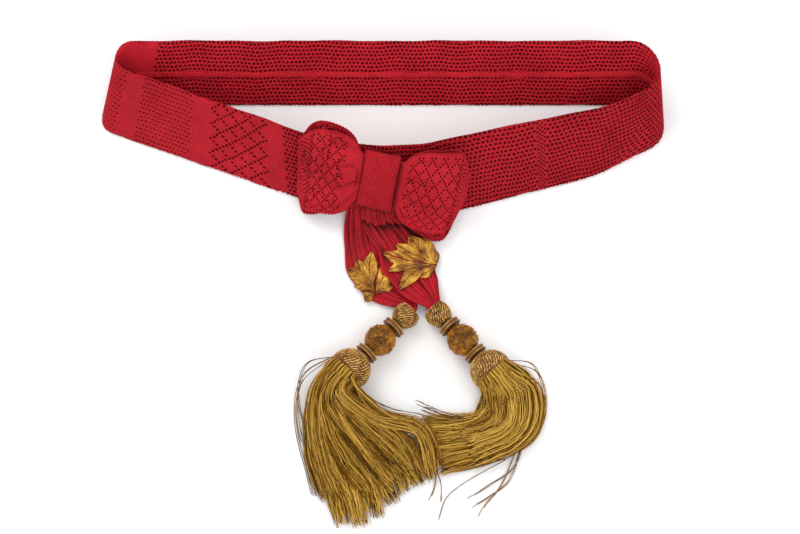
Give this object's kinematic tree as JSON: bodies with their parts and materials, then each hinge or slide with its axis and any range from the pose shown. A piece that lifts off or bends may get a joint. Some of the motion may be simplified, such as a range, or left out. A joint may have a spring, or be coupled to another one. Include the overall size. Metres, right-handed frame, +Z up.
{
  "type": "officers waist sash",
  "caption": "Knitted crimson waist sash in a closed loop, with a ribbed-knot bow, pleated tails with gilt leaves, and gilt thread tassels, laid out flat.",
  "frame": {"origin": "on the surface the sash lies on, under the middle of its bounding box", "axes": "+X to the sash's right as seen from its front, +Y from the tassels towards the back of the loop, +Z up"},
  "size_m": [0.4478, 0.3782, 0.0741],
  "materials": {
    "knit": "openwork crimson knit",
    "silk": "crimson knit, smooth and pleated",
    "gilt_wire": "woven gilt wire thread over turned moulds, worn",
    "gilt_thread": "twisted gilt thread"
  },
  "bodies": {
    "root": {"waist_band": "knit", "inner_seam": "knit", "bow_loop_left": "silk", "bow_loop_right": "silk", "bow_knot": "silk", "tail_left": "silk", "tail_right": "silk", "leaf_left": "gilt_wire", "leaf_right": "gilt_wire", "tassel_cup_left": "gilt_wire", "tassel_cup_right": "gilt_wire", "tassel_ring_upper_left": "gilt_wire", "tassel_ring_upper_right": "gilt_wire", "tassel_ball_left": "gilt_wire", "tassel_ball_right": "gilt_wire", "tassel_ring_lower_left": "gilt_wire", "tassel_ring_lower_right": "gilt_wire", "tassel_head_left": "gilt_wire", "tassel_head_right": "gilt_wire", "tassel_cord_left": "gilt_thread", "tassel_cord_right": "gilt_thread", "fringe_left": "gilt_thread", "fringe_right": "gilt_thread"}
  },
  "joints": []
}
